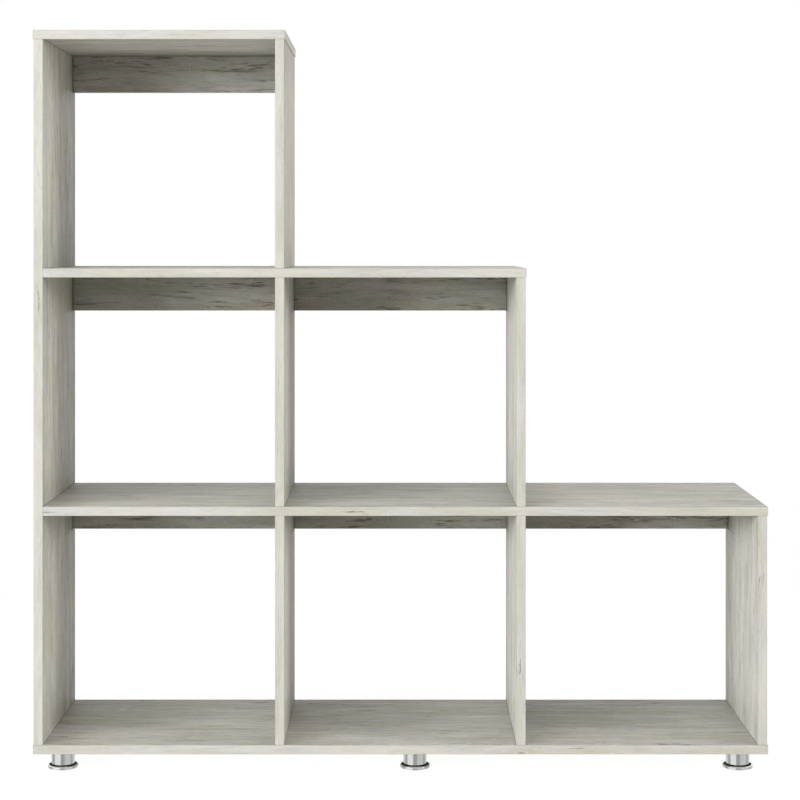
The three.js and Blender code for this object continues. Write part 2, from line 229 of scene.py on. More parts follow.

# %% [markdown]
# Polished metal has no look of its own: it shows what stands round it. In a product studio that is
# a ring of white sheets with darker gaps between them, which the chrome draws as upright bands.
# Here it is a wide cylinder that only reflections can see. Its shade depends on the direction from
# the middle of the room alone, in degrees from the front, so it stays in place for every view. Its
# top is white, and the floor below fades from white to grey straight under the furniture: a
# painted shadow of the furniture, seen in the chrome.

# %% Studio ring
RING_RADIUS = 9.0
RING_HEIGHT = 14.0
RING_SIDES = 96
RING_SHEETS = (
    (-180, 0.66),
    (-120, 0.66),
    (-112, 0.39),
    (-88, 0.39),
    (-74, 0.82),
    (-22, 0.82),
    (-16, 0.37),
    (12, 0.36),
    (28, 0.57),
    (78, 0.6),
    (86, 0.42),
    (106, 0.42),
    (128, 0.6),
    (146, 0.75),
    (180, 0.66),
)
WHITE_ABOVE = (0.5, 2.5)
WHITE_BELOW = (-3.0, -6.0)
# A painted shadow: the floor of the ring turns grey straight under the furniture.
UNDER_SHADOW_GREY = 0.45
UNDER_SHADOW_RADIUS = (3.5, 6.5)
UNDER_SHADOW_LEVEL = -RING_HEIGHT / 2 + 0.01

bpy.ops.object.select_all(action="DESELECT")
bpy.ops.mesh.primitive_cylinder_add(
    vertices=RING_SIDES, radius=RING_RADIUS, depth=RING_HEIGHT, end_fill_type="NGON"
)
ring = bpy.context.object
ring.name = "studio_ring"
bpy.ops.object.mode_set(mode="EDIT")
bpy.ops.mesh.select_all(action="SELECT")
bpy.ops.mesh.flip_normals()
bpy.ops.object.mode_set(mode="OBJECT")
for kind in ("camera", "diffuse", "transmission", "volume_scatter", "shadow"):
    setattr(ring, "visible_" + kind, False)
sheets = bpy.data.materials.new("studio sheets")
sheets.use_nodes = True
tree = sheets.node_tree
spot = parts_of(tree, tree.nodes.new("ShaderNodeTexCoord").outputs["Object"])
azimuth = calc(tree, "ARCTAN2", spot[0], calc(tree, "MULTIPLY", spot[1], -1))
turn_share = calc(tree, "MULTIPLY_ADD", azimuth, 1 / (2 * math.pi), 0.5)
ramp = tree.nodes.new("ShaderNodeValToRGB")
stops = ramp.color_ramp.elements
for degrees, level in RING_SHEETS[1:-1]:
    stops.new(degrees / 360 + 0.5)
for stop, (degrees, level) in zip(stops, RING_SHEETS):
    stop.position = degrees / 360 + 0.5
    stop.color = (level, level, level, 1)
tree.links.new(turn_share, ramp.inputs["Fac"])
white = calc(tree, "MAXIMUM", step(tree, spot[2], *WHITE_ABOVE), step(tree, spot[2], *WHITE_BELOW))
walls = mix(tree, white, ramp.outputs["Color"], (1, 1, 1, 1))
depth_squared = calc(tree, "MULTIPLY", spot[1], spot[1])
off_axis = calc(tree, "SQRT", calc(tree, "MULTIPLY_ADD", spot[0], spot[0], depth_squared))
on_ground = calc(tree, "LESS_THAN", spot[2], UNDER_SHADOW_LEVEL)
under_shadow = calc(tree, "MULTIPLY", step(tree, off_axis, *UNDER_SHADOW_RADIUS, 1, 0), on_ground)
glow = tree.nodes.new("ShaderNodeEmission")
feed(tree, glow.inputs["Color"], mix(tree, under_shadow, walls, (UNDER_SHADOW_GREY, UNDER_SHADOW_GREY, UNDER_SHADOW_GREY, 1)))
tree.links.new(glow.outputs[0], tree.nodes["Material Output"].inputs["Surface"])
ring.data.materials.append(sheets)
print("ring with", len(RING_SHEETS), "shades")

# %% [markdown]
# The floor is pale and matt, and glows a little to light the undersides. The camera sees it
# lifted to white, which leaves only a faint shadow below the bookshelf. Reflections pass through
# it to the ring, and all other rays meet its colour.

# %% Floor
FLOOR_COLOUR = (0.35, 0.342, 0.315, 1)
FLOOR_GLOW_COLOUR = (1, 0.975, 0.91, 1)
FLOOR_GLOW = 0.18
FLOOR_ROUGHNESS = 0.8
FLOOR_SPAN = 60.0
FLOOR_LIFT = 0.93
FLOOR_SHADOW_SHARE = 0.2
FLOOR_FADE = (0.9, 1.8)

bpy.ops.object.select_all(action="DESELECT")
bpy.ops.mesh.primitive_plane_add(size=FLOOR_SPAN, location=(0, 0, cad_low.z))
floor = bpy.context.object
floor.name = "floor"
floor_finish = bpy.data.materials.new("pale floor")
floor_finish.use_nodes = True
tree = floor_finish.node_tree
matt = tree.nodes["Principled BSDF"]
matt.inputs["Base Color"].default_value = FLOOR_COLOUR
matt.inputs["Roughness"].default_value = FLOOR_ROUGHNESS
matt.inputs["Specular IOR Level"].default_value = 0.0
matt.inputs["Emission Color"].default_value = FLOOR_GLOW_COLOUR
matt.inputs["Emission Strength"].default_value = FLOOR_GLOW
spot = tree.nodes.new("ShaderNodeTexCoord").outputs["Object"]
away = tree.nodes.new("ShaderNodeVectorMath")
away.operation = "LENGTH"
feed(tree, away.inputs[0], spot)
near = step(tree, away.outputs["Value"], *FLOOR_FADE, 1, 0)
shadow = tree.nodes.new("ShaderNodeBsdfDiffuse")
shade = calc(tree, "MULTIPLY", near, FLOOR_SHADOW_SHARE)
feed(tree, shadow.inputs["Color"], vector_of(tree, shade, shade, shade))
lift = tree.nodes.new("ShaderNodeEmission")
feed(tree, lift.inputs["Strength"], calc(tree, "MULTIPLY_ADD", near, FLOOR_LIFT - 1, 1))
lifted = tree.nodes.new("ShaderNodeAddShader")
tree.links.new(shadow.outputs[0], lifted.inputs[0])
tree.links.new(lift.outputs[0], lifted.inputs[1])
ray = tree.nodes.new("ShaderNodeLightPath")
for_camera = tree.nodes.new("ShaderNodeMixShader")
tree.links.new(ray.outputs["Is Camera Ray"], for_camera.inputs[0])
tree.links.new(matt.outputs[0], for_camera.inputs[1])
tree.links.new(lifted.outputs[0], for_camera.inputs[2])
for_mirrors = tree.nodes.new("ShaderNodeMixShader")
tree.links.new(ray.outputs["Is Glossy Ray"], for_mirrors.inputs[0])
tree.links.new(for_camera.outputs[0], for_mirrors.inputs[1])
tree.links.new(tree.nodes.new("ShaderNodeBsdfTransparent").outputs[0], for_mirrors.inputs[2])
tree.links.new(for_mirrors.outputs[0], tree.nodes["Material Output"].inputs["Surface"])
floor.data.materials.append(floor_finish)
print("floor at", round(cad_low.z, 4))

# %% [markdown]
# The boards are particle board under a printed paper: pale oak that was brushed and washed with
# white, so that soft grey-green and yellowish bands run along the grain, thin year rings close in
# long arches, and brown cracks and small knots break through here and there. A photograph of such
# paper would repeat on every board. Noise that is stretched along the grain never repeats, and its
# contour lines close in just the arches that a sawn plank shows.
#
# The group works in the board's own space: X along the grain, Y across it, both in metres. Z only
# picks another slice of the pattern, so that no two prints are alike. First comes the flow of the
# grain, which sways slowly and parts round a knot. One cell in four has one.

# %% Flow of the grain
KNOT_CELLS = (4.5, 15, 15)
KNOT_RARITY = 0.74
KNOT_REACH = (0.02, 0.42)
KNOT_PUSH = 0.75
SWAY_WIDTH = 0.035

decor = bpy.data.node_groups.new("whitewashed oak", "ShaderNodeTree")
decor.interface.new_socket("Place", in_out="INPUT", socket_type="NodeSocketVector")
for name in ("Contrast", "Cracks", "Tone"):
    decor.interface.new_socket(name, in_out="INPUT", socket_type="NodeSocketFloat")
decor.interface.new_socket("Colour", in_out="OUTPUT", socket_type="NodeSocketColor")
decor.interface.new_socket("Roughness", in_out="OUTPUT", socket_type="NodeSocketFloat")
decor.interface.new_socket("Height", in_out="OUTPUT", socket_type="NodeSocketFloat")
entry = decor.nodes.new("NodeGroupInput")
result = decor.nodes.new("NodeGroupOutput")
place = entry.outputs["Place"]

cells = decor.nodes.new("ShaderNodeTexVoronoi")
stretched = vector_calc(decor, "MULTIPLY", place, KNOT_CELLS)
feed(decor, cells.inputs["Vector"], stretched)
cells.inputs["Scale"].default_value = 1
draw = parts_of(decor, cells.outputs["Color"])[0]
has_knot = calc(decor, "GREATER_THAN", draw, KNOT_RARITY)
off_knot = cells.outputs["Distance"]
around = calc(decor, "MULTIPLY", step(decor, off_knot, *KNOT_REACH, 1, 0), has_knot)
from_knot = vector_calc(decor, "SUBTRACT", stretched, cells.outputs["Position"])
parting = calc(decor, "MULTIPLY", parts_of(decor, from_knot)[1], -KNOT_PUSH / KNOT_CELLS[1])
sway = calc(decor, "SUBTRACT", noise(decor, place, (2.5, 9, 9)), 0.5)
drift = calc(decor, "MULTIPLY_ADD", parting, around, calc(decor, "MULTIPLY", sway, SWAY_WIDTH))
grain = vector_calc(decor, "ADD", place, vector_of(decor, 0, drift, 0))
print("flow of the grain with", len(decor.nodes), "nodes")

# %% [markdown]
# Three soft hues lie over the pale ground: yellowish, nearly white where the wash lies thicker,
# and here and there a blush. Each is a wide noise, read at a place of its own.

# %% Hues
PALE = (0.73, 0.722, 0.665, 1)
OLIVE = (0.675, 0.672, 0.585, 1)
WASH = (0.72, 0.712, 0.69, 1)
BLUSH = (0.70, 0.645, 0.605, 1)


def moved(shift):
    return vector_calc(decor, "ADD", grain, (shift, 1.7 * shift, 0))


tone = noise(decor, grain, (4, 32, 32), detail=2)
wash = noise(decor, moved(3.1), (7, 55, 55), detail=2)
blush = noise(decor, moved(5.9), (8, 60, 60), detail=2)
colour = mix(decor, step(decor, tone, 0.4, 0.62), PALE, OLIVE)
colour = mix(decor, step(decor, wash, 0.5, 0.6), colour, WASH)
colour = mix(decor, step(decor, blush, 0.58, 0.74), colour, BLUSH)
print("ground with three hues:", len(decor.nodes), "nodes so far")

# %% [markdown]
# Everything that lightens or darkens the hues is added up in one factor, so that Contrast can turn
# it up or down for a whole face: bands, streaks, brushed lines, specks, short dashes, and year
# rings, which are a noise counted off in even steps.

# %% Bands, lines and year rings
RINGS = 14
RING_SHARE = -0.16
DASH_SHARE = -0.17
LINE_SHARES = {"streak": -0.28, "fine": -0.45, "tone": -0.3, "speck": -0.4}
BAND_SHARE = -0.4

band = noise(decor, moved(8.3), (13, 75, 75), detail=2)
streak = noise(decor, grain, (26, 260, 260), detail=3, roughness=0.6)
fine = noise(decor, grain, (60, 480, 480), detail=2, roughness=0.6)
speck = noise(decor, grain, (300, 600, 600), detail=1)
dash = step(decor, noise(decor, moved(2.2), (42, 330, 330), detail=2), 0.6, 0.7)
contour = calc(decor, "MULTIPLY", noise(decor, grain, (2, 26, 26), detail=1), RINGS)
ring = calc(decor, "PINGPONG", contour, 1)
ring_line = calc(decor, "MULTIPLY", step(decor, ring, 0.6, 1.0), step(decor, streak, 0.35, 0.65))
ring_shade = calc(decor, "MULTIPLY", ring_line, step(decor, wash, 0.4, 0.6))

relief = calc(decor, "MULTIPLY", calc(decor, "SUBTRACT", band, 0.5), BAND_SHARE)
lines = {"streak": streak, "fine": fine, "tone": tone, "speck": speck}
for kind, share in LINE_SHARES.items():
    off_middle = calc(decor, "SUBTRACT", lines[kind], 0.5)
    relief = calc(decor, "MULTIPLY_ADD", off_middle, share, relief)
relief = calc(decor, "MULTIPLY_ADD", ring_shade, RING_SHARE, relief)
relief = calc(decor, "MULTIPLY_ADD", dash, DASH_SHARE, relief)
shade = calc(decor, "MULTIPLY_ADD", relief, entry.outputs["Contrast"], 1)
shade = calc(decor, "MULTIPLY", shade, entry.outputs["Tone"])
colour = vector_calc(decor, "MULTIPLY", colour, vector_of(decor, shade, shade, shade))
print("lines and rings:", len(decor.nodes), "nodes so far")

# %% [markdown]
# Cracks are thin contour lines of a long noise. They are kept in patches, the more and the larger
# the higher Cracks is, and the brushed lines break them up. Specks gather where the blush is. What
# is dark also lies a little deeper in the brushed surface.

# %% Cracks and knots
BROWN = (0.17, 0.148, 0.112, 1)
CRACK_WIDTH = (0.018, 0.052)
CRACK_DEPTH = 0.85
SPECK_DEPTH = 0.6
KNOT_EYE = (0.01, 0.05)
KNOT_DEPTH = 0.75
SINK = -0.8

crack_field = noise(decor, grain, (6, 110, 110), detail=4, roughness=0.6)
crack = calc(decor, "ABSOLUTE", calc(decor, "SUBTRACT", crack_field, 0.5))
crack = step(decor, crack, *CRACK_WIDTH, 1, 0)
crack_zone = noise(decor, moved(4.4), (11, 60, 60), detail=3)
crack_level = calc(decor, "MULTIPLY_ADD", entry.outputs["Cracks"], -0.18, 0.7)
crack_zone = step(decor, calc(decor, "SUBTRACT", crack_zone, crack_level), 0, 0.1)
crack = calc(decor, "MULTIPLY", crack, crack_zone)
crack = calc(decor, "MULTIPLY", crack, step(decor, fine, 0.35, 0.5))
specks = calc(decor, "MULTIPLY", step(decor, speck, 0.58, 0.66), step(decor, blush, 0.56, 0.62))
specks = calc(decor, "MULTIPLY", specks, entry.outputs["Cracks"])
crack = calc(decor, "MAXIMUM", crack, calc(decor, "MULTIPLY", specks, SPECK_DEPTH))
knot = calc(decor, "MULTIPLY", step(decor, off_knot, *KNOT_EYE, 1, 0), has_knot)
crack = calc(decor, "MULTIPLY", crack, CRACK_DEPTH)
dark = calc(decor, "MAXIMUM", crack, calc(decor, "MULTIPLY", knot, KNOT_DEPTH))
colour = mix(decor, dark, colour, BROWN)

feed(decor, result.inputs["Colour"], colour)
feed(decor, result.inputs["Roughness"], step(decor, fine, 0.3, 0.7, 0.46, 0.6))
brushed = calc(decor, "MULTIPLY", streak, 0.6)
height = calc(decor, "ADD", calc(decor, "MULTIPLY", fine, 0.5), brushed)
feed(decor, result.inputs["Height"], calc(decor, "MULTIPLY_ADD", dark, SINK, height))
print("decor group with", len(decor.nodes), "nodes")

# %% [markdown]
# Each face of a board carries its own strip of paper: one on each broad side, a band along the
# long edges and a band round the ends, and on all of them the grain follows the strip. The layout
# group picks the strip by the direction that the face looks in, and gives each strip another
# slice.

# %% Strips of a board
SIDE_SLICE = 0.31
BAND_SLICE = 0.57
END_SLICE = 0.83
SQUARE_ON = 0.75

layout = bpy.data.node_groups.new("strips of a board", "ShaderNodeTree")
for name in ("Place", "Facing", "Half size"):
    layout.interface.new_socket(name, in_out="INPUT", socket_type="NodeSocketVector")
for name in ("Slice", "Free low end", "Free high end", "Contact", "Corner"):
    layout.interface.new_socket(name, in_out="INPUT", socket_type="NodeSocketFloat")
layout.interface.new_socket("Print", in_out="OUTPUT", socket_type="NodeSocketVector")
layout.interface.new_socket("Edge shade", in_out="OUTPUT", socket_type="NodeSocketFloat")
layout.interface.new_socket("Broad", in_out="OUTPUT", socket_type="NodeSocketFloat")
entry = layout.nodes.new("NodeGroupInput")
result = layout.nodes.new("NodeGroupOutput")

along, across, through = parts_of(layout, entry.outputs["Place"])
facing = parts_of(layout, vector_calc(layout, "ABSOLUTE", entry.outputs["Facing"]))
half = parts_of(layout, entry.outputs["Half size"])
slice_number = entry.outputs["Slice"]
side = calc(layout, "MULTIPLY_ADD", calc(layout, "SIGN", through), SIDE_SLICE, slice_number)
broad_print = vector_of(layout, along, across, side)
band_print = vector_of(layout, along, through, calc(layout, "ADD", slice_number, BAND_SLICE))
end_print = vector_of(layout, across, through, calc(layout, "ADD", slice_number, END_SLICE))
on_end, on_band, on_broad = (calc(layout, "GREATER_THAN", part, SQUARE_ON) for part in facing)
strip = choose(layout, on_band, broad_print, band_print)
feed(layout, result.inputs["Print"], choose(layout, on_end, strip, end_print))
feed(layout, result.inputs["Broad"], on_broad)

# %% [markdown]
# The same group shades the edges. Their broken corners are painted darker as shade, apart from
# those that look down, which are painted lighter as a highlight from the floor. Where a board
# ends freely, its end band shows from the front as a paler strip beside a hairline, and where it
# butts against another board there is a dark line. On the broad faces, less light reaches the
# corners between two boards than the lamps alone tell, so painted shade lies there: a thin dark
# line along the corner, with a wide soft shade round it.

# %% Shade of the edges and corners
BAND_THICKNESS = 2.0 * MM
BAND_LINE = 0.25 * MM
BAND_END = BAND_THICKNESS + BAND_LINE
BAND_LINE_DARKENING = 0.12
JOINT_LINE = 0.9 * MM
JOINT_DARKENING = 0.25
# Painted shade on the broken corners, and a painted highlight on those that look down.
CHAMFER_SHADE = 0.78
CAP_LIFT = 0.04
EDGE_GLEAM = 0.1
DOWNWARD = -0.3
# Painted shade in the corners of the broad faces: a thin dark line and a wide soft shade.
CONTACT_DARKENING = 0.3
CORNER_DARKENING = 0.15

flat = calc(layout, "MAXIMUM", calc(layout, "MAXIMUM", on_end, on_band), on_broad)
looks_down = calc(layout, "LESS_THAN", parts_of(layout, entry.outputs["Facing"])[2], DOWNWARD)
gleam = calc(layout, "MULTIPLY", looks_down, calc(layout, "SUBTRACT", 1, flat))
flat = calc(layout, "MAXIMUM", flat, looks_down)
edge_shade = calc(layout, "MULTIPLY_ADD", flat, 1 - CHAMFER_SHADE, CHAMFER_SHADE)
edge_shade = calc(layout, "MULTIPLY_ADD", gleam, EDGE_GLEAM, edge_shade)
to_low = calc(layout, "ADD", half[0], along)
to_high = calc(layout, "SUBTRACT", half[0], along)
for distance, free in ((to_low, "Free low end"), (to_high, "Free high end")):
    cap = step(layout, distance, BAND_THICKNESS, BAND_END, 1, 0)
    off_line = calc(layout, "ABSOLUTE", calc(layout, "SUBTRACT", distance, BAND_END))
    hairline = step(layout, off_line, 0, BAND_LINE, 1, 0)
    joint = step(layout, distance, 0, JOINT_LINE, 1, 0)
    at_end = calc(layout, "MULTIPLY", cap, CAP_LIFT)
    at_end = calc(layout, "MULTIPLY_ADD", hairline, -BAND_LINE_DARKENING, at_end)
    at_joint = calc(layout, "MULTIPLY", joint, -JOINT_DARKENING)
    both = (vector_of(layout, value, 0, 0) for value in (at_joint, at_end))
    ends = choose(layout, entry.outputs[free], *both)
    edge_shade = calc(layout, "MULTIPLY_ADD", parts_of(layout, ends)[0], on_band, edge_shade)
contact = calc(layout, "MULTIPLY", entry.outputs["Contact"], -CONTACT_DARKENING)
contact = calc(layout, "MULTIPLY_ADD", entry.outputs["Corner"], -CORNER_DARKENING, contact)
edge_shade = calc(layout, "MULTIPLY_ADD", contact, on_broad, edge_shade)
feed(layout, result.inputs["Edge shade"], edge_shade)
print("layout group with", len(layout.nodes), "nodes")

# %% [markdown]
# A board's material has to know where other boards stand on its broad faces, where its own ends
# meet one, and where a rail lies against it. All of this follows from the boards' boxes. Dowels
# are in one piece with the boards that carry them, so a board's own size is read from its large
# faces only. Its three sizes alone tell which way it stands, and so the turn that lays it down:
# its length becomes X, its width Y and its thickness Z. TOUCH is wide enough for the broken edges
# at the ends.

# %% Neighbours of a board
LARGE_FACE = 100 * MM * MM
TOUCH = 0.8 * MM
TURNS = {"XYZ": (0, 0, 0), "XZY": (90, 0, 0), "ZYX": (0, 90, 0)}

boards = [name for name in sorted(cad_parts) if "foot" not in name and "screw" not in name]


def board_box(name):
    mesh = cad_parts[name].data
    large = [face for face in mesh.polygons if face.area > LARGE_FACE]
    points = [mesh.vertices[corner].co for face in large for corner in face.vertices]
    low = Vector([min(point[axis] for point in points) for axis in range(3)])
    high = Vector([max(point[axis] for point in points) for axis in range(3)])
    return low, high


boxes = {name: board_box(name) for name in boards}


def board_turn(name):
    low, high = boxes[name]
    size = high - low
    axes = "".join(sorted("XYZ", key=lambda axis: -size["XYZ".index(axis)]))
    return Euler([math.radians(angle) for angle in TURNS[axes]])


def neighbours(name):
    low, high = boxes[name]
    turn = board_turn(name).to_matrix()
    centre = (low + high) / 2
    thin = min(range(3), key=lambda axis: high[axis] - low[axis])
    wide = [axis for axis in range(3) if axis != thin]
    found = {"boards": {1: [], -1: []}, "rails": {1: [], -1: []}}
    for other in boards:
        other_low, other_high = boxes[other]
        above = abs(high[thin] - other_low[thin]) < TOUCH
        below = abs(low[thin] - other_high[thin]) < TOUCH
        inside = (other_low[axis] < high[axis] and other_high[axis] > low[axis] for axis in wide)
        if (above or below) and all(inside):
            ends = [turn @ (corner - centre) for corner in (other_low, other_high)]
            face = 1 if ends[0].z + ends[1].z > 0 else -1
            found["rails" if "rail" in other else "boards"][face].append(ends)
    return found


for name in boards:
    found = neighbours(name)
    print(name, {kind: (len(faces[1]), len(faces[-1])) for kind, faces in found.items()})

# %% [markdown]
# In each corner the shade grows towards the nearest board, and beside a rail it grows towards the
# rail's front. A rail itself only gets the thin line, along its ends and its upper edge. The two
# broad faces of a board have different neighbours, so both shades are worked out for each face.

# %% Shades in the corners
# Painted shade: the thin line and the wide soft shade in the corners and beside the rails.
CONTACT_LINE = 1.6 * MM
CORNER_SPAN = 100 * MM
RAIL_CONTACT = 1.25
RAIL_LINE = 24 * MM
RAIL_LINE_SHARE = 1.4
RAIL_SHADOW = 160 * MM
RAIL_SHADOW_SHARE = 2.1


def nearest_line(tree, along, meeting, half_length, free):
    nearest = calc(tree, "ADD", half_length * (1 + free[0]), along)
    high_end = calc(tree, "SUBTRACT", half_length * (1 + free[1]), along)
    nearest = calc(tree, "MINIMUM", nearest, high_end)
    for end in (end for ends in meeting for end in ends):
        distance = calc(tree, "ABSOLUTE", calc(tree, "SUBTRACT", along, end.x))
        nearest = calc(tree, "MINIMUM", nearest, distance)
    return nearest


def beside_rail(tree, along, meeting):
    share = 0
    for ends in meeting:
        middle, half_span = (ends[0].x + ends[1].x) / 2, abs(ends[0].x - ends[1].x) / 2
        distance = calc(tree, "ABSOLUTE", calc(tree, "SUBTRACT", along, middle))
        beside = step(tree, distance, half_span, half_span + CONTACT_LINE, 1, 0)
        share = calc(tree, "MAXIMUM", share, beside)
    return share


def by_face(tree, through, on_top, underneath):
    is_top = calc(tree, "GREATER_THAN", through, 0)
    difference = calc(tree, "SUBTRACT", on_top, underneath)
    return calc(tree, "MULTIPLY_ADD", difference, is_top, underneath)


def corner_shades(tree, name, place, half_size, free):
    along, across, through = parts_of(tree, place)
    found = neighbours(name)
    meeting, rails = found["boards"], found["rails"]
    lines = (nearest_line(tree, along, meeting[face], half_size[0], free) for face in (1, -1))
    nearest = by_face(tree, through, *lines)
    if "rail" in name:
        nearest = calc(tree, "MINIMUM", nearest, calc(tree, "ADD", half_size[1], across))
        return step(tree, nearest, 0, CONTACT_LINE, RAIL_CONTACT, 0), 0
    contact = step(tree, nearest, 0, CONTACT_LINE, 1, 0)
    corner = step(tree, nearest, 0, CORNER_SPAN, 1, 0)
    if rails[1] or rails[-1]:
        front = min(end.y for ends in rails[1] + rails[-1] for end in ends)
        shares = (beside_rail(tree, along, rails[face]) for face in (1, -1))
        beside = by_face(tree, through, *shares)
        line = step(tree, across, front - RAIL_LINE, front, 0, RAIL_LINE_SHARE)
        contact = calc(tree, "MAXIMUM", contact, calc(tree, "MULTIPLY", beside, line))
        shadow = step(tree, across, front - RAIL_SHADOW, front, 0, RAIL_SHADOW_SHARE)
        corner = calc(tree, "MAXIMUM", corner, calc(tree, "MULTIPLY", beside, shadow))
    return contact, corner


# %% [markdown]
# A board's material brings the board into its own space, with the origin in its middle, and wires
# the two groups together. The broad faces have the strongest print, and a little painted light
# lifts their colour. The edge bands, cut from the same paper, show little of it over their 15 mm.
# Rails have a strip of its more cracked part, and painted shade darkens their colour by a third.
# FREE_ENDS names the boards that end in the open, low end first.

# %% Board materials
FREE_ENDS = {
    "bottom_panel": (1, 1),
    "lower_shelf": (0, 1),
    "middle_shelf": (0, 1),
    "top_panel": (1, 1),
}
SLICE_STEP = 1.37
FIRST_SLICE = 5.3
BAND_PRINT = {"Contrast": 0.5, "Cracks": 0.2, "Tone": 1.0}
# Painted light: Tone lifts the broad faces' colour a little.
BROAD_PRINT_AND_LIGHT = {"Contrast": 1.3, "Cracks": 0.5, "Tone": 1.025}
RAIL_BAND_PRINT = {"Contrast": 1.0, "Cracks": 0.2, "Tone": 1.0}
# Painted shade: Tone darkens the rails' colour by a third.
RAIL_PRINT_AND_SHADE = {"Contrast": 1.0, "Cracks": 1.0, "Tone": 0.66}
BOARD_SHEEN = 0.35
BUMP_STRENGTH = 0.35
BUMP_HEIGHT = 0.12 * MM


def board_space(tree, name):
    low, high = boxes[name]
    turn = board_turn(name)
    source = tree.nodes.new("ShaderNodeTexCoord")
    place = tree.nodes.new("ShaderNodeMapping")
    place.inputs["Location"].default_value = -(turn.to_matrix() @ ((low + high) / 2))
    place.inputs["Rotation"].default_value = turn
    facing = tree.nodes.new("ShaderNodeMapping")
    facing.vector_type = "VECTOR"
    facing.inputs["Rotation"].default_value = turn
    tree.links.new(source.outputs["Object"], place.inputs["Vector"])
    tree.links.new(source.outputs["Normal"], facing.inputs["Vector"])
    return place.outputs[0], facing.outputs[0]


def board_strips(tree, name, number):
    low, high = boxes[name]
    half_size = sorted((side / 2 for side in high - low), reverse=True)
    free = FREE_ENDS.get(name, (0, 0))
    place, facing = board_space(tree, name)
    contact, corner = corner_shades(tree, name, place, half_size, free)
    strips = tree.nodes.new("ShaderNodeGroup")
    strips.node_tree = layout
    values = {
        "Place": place,
        "Facing": facing,
        "Half size": half_size,
        "Slice": number * SLICE_STEP + FIRST_SLICE,
        "Free low end": free[0],
        "Free high end": free[1],
        "Contact": contact,
        "Corner": corner,
    }
    for socket, value in values.items():
        feed(tree, strips.inputs[socket], value)
    return strips.outputs


def board_material(name, number):
    material = bpy.data.materials.new("oak " + name.replace("_", " "))
    material.use_nodes = True
    tree = material.node_tree
    shader = tree.nodes["Principled BSDF"]
    strips = board_strips(tree, name, number)
    wood = tree.nodes.new("ShaderNodeGroup")
    wood.node_tree = decor
    tree.links.new(strips["Print"], wood.inputs["Place"])
    broad, band = (RAIL_PRINT_AND_SHADE, RAIL_BAND_PRINT) if "rail" in name else (BROAD_PRINT_AND_LIGHT, BAND_PRINT)
    for socket, level in broad.items():
        feed(tree, wood.inputs[socket], step(tree, strips["Broad"], 0, 1, band[socket], level))
    edge = strips["Edge shade"]
    edge_colour = vector_of(tree, edge, edge, edge)
    edged = vector_calc(tree, "MULTIPLY", wood.outputs["Colour"], edge_colour)
    tree.links.new(edged, shader.inputs["Base Color"])
    tree.links.new(wood.outputs["Roughness"], shader.inputs["Roughness"])
    shader.inputs["Specular IOR Level"].default_value = BOARD_SHEEN
    bump = tree.nodes.new("ShaderNodeBump")
    bump.inputs["Strength"].default_value = BUMP_STRENGTH
    bump.inputs["Distance"].default_value = BUMP_HEIGHT
    tree.links.new(wood.outputs["Height"], bump.inputs["Height"])
    tree.links.new(bump.outputs[0], shader.inputs["Normal"])
    return material


for number, name in enumerate(boards):
    finish = board_material(name, number)
    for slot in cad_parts[name].material_slots:
        slot.material = finish
print(len(boards), "boards dressed")

# %% [markdown]
# The small metal and plastic parts are turned, drawn or moulded, so each is drawn as one half of
# its section and spun round its axis. A plane that is merged to a single point is the start of the
# line, every further point is extruded from the last one, and bevelled points become the rolled
# and rounded edges. A section lists radius and height, and its roundings list radius, height,
# rounding and segments, all in millimetres.

# %% Turning helpers
ROUND_STEPS = 72
SMOOTH_ANGLE = math.radians(40)
SAME_POINT_MM = 0.01
MERGE_REACH = 0.001 * MM


def start_line(name, radius, height):
    bpy.ops.object.select_all(action="DESELECT")
    bpy.ops.mesh.primitive_plane_add(size=MM, location=(0, 0, 0))
    piece = bpy.context.object
    piece.name = name
    piece.data.name = name
    bpy.ops.object.mode_set(mode="EDIT")
    bpy.ops.mesh.select_mode(type="VERT")
    bpy.ops.mesh.select_all(action="SELECT")
    bpy.ops.mesh.merge(type="CENTER")
    bpy.ops.transform.translate(value=(radius * MM, 0, height * MM))
    return piece


def draw_line(points):
    for (from_radius, from_height), (radius, height) in zip(points, points[1:]):
        shift = ((radius - from_radius) * MM, 0, (height - from_height) * MM)
        bpy.ops.mesh.extrude_vertices_move(TRANSFORM_OT_translate={"value": shift})


def round_point(piece, radius, height, rounding, segments):
    target = Vector((radius, 0, height))
    bpy.ops.mesh.select_all(action="DESELECT")
    mesh = bmesh.from_edit_mesh(piece.data)
    for vertex in mesh.verts:
        if (vertex.co / MM - target).length < SAME_POINT_MM:
            vertex.select = True
    mesh.select_flush(True)
    bmesh.update_edit_mesh(piece.data)
    bpy.ops.mesh.bevel(
        offset=rounding * MM, offset_type="OFFSET", segments=segments, affect="VERTICES"
    )


def close_surface(piece):
    bpy.ops.mesh.select_all(action="SELECT")
    bpy.ops.mesh.remove_doubles(threshold=MERGE_REACH)
    bpy.ops.mesh.normals_make_consistent(inside=False)
    bpy.ops.object.mode_set(mode="OBJECT")
    bpy.ops.object.shade_smooth_by_angle(angle=SMOOTH_ANGLE)


def turned(name, points, roundings=(), steps=ROUND_STEPS):
    piece = start_line(name, *points[0])
    draw_line(points)
    if points[0] == points[-1]:
        bpy.ops.mesh.select_all(action="SELECT")
        bpy.ops.mesh.remove_doubles(threshold=MERGE_REACH)
    for radius, height, rounding, segments in roundings:
        round_point(piece, radius, height, rounding, segments)
    bpy.ops.mesh.select_all(action="SELECT")
    bpy.ops.mesh.spin(steps=steps, angle=2 * math.pi, center=(0, 0, 0), axis=(0, 0, 1))
    close_surface(piece)
    return piece


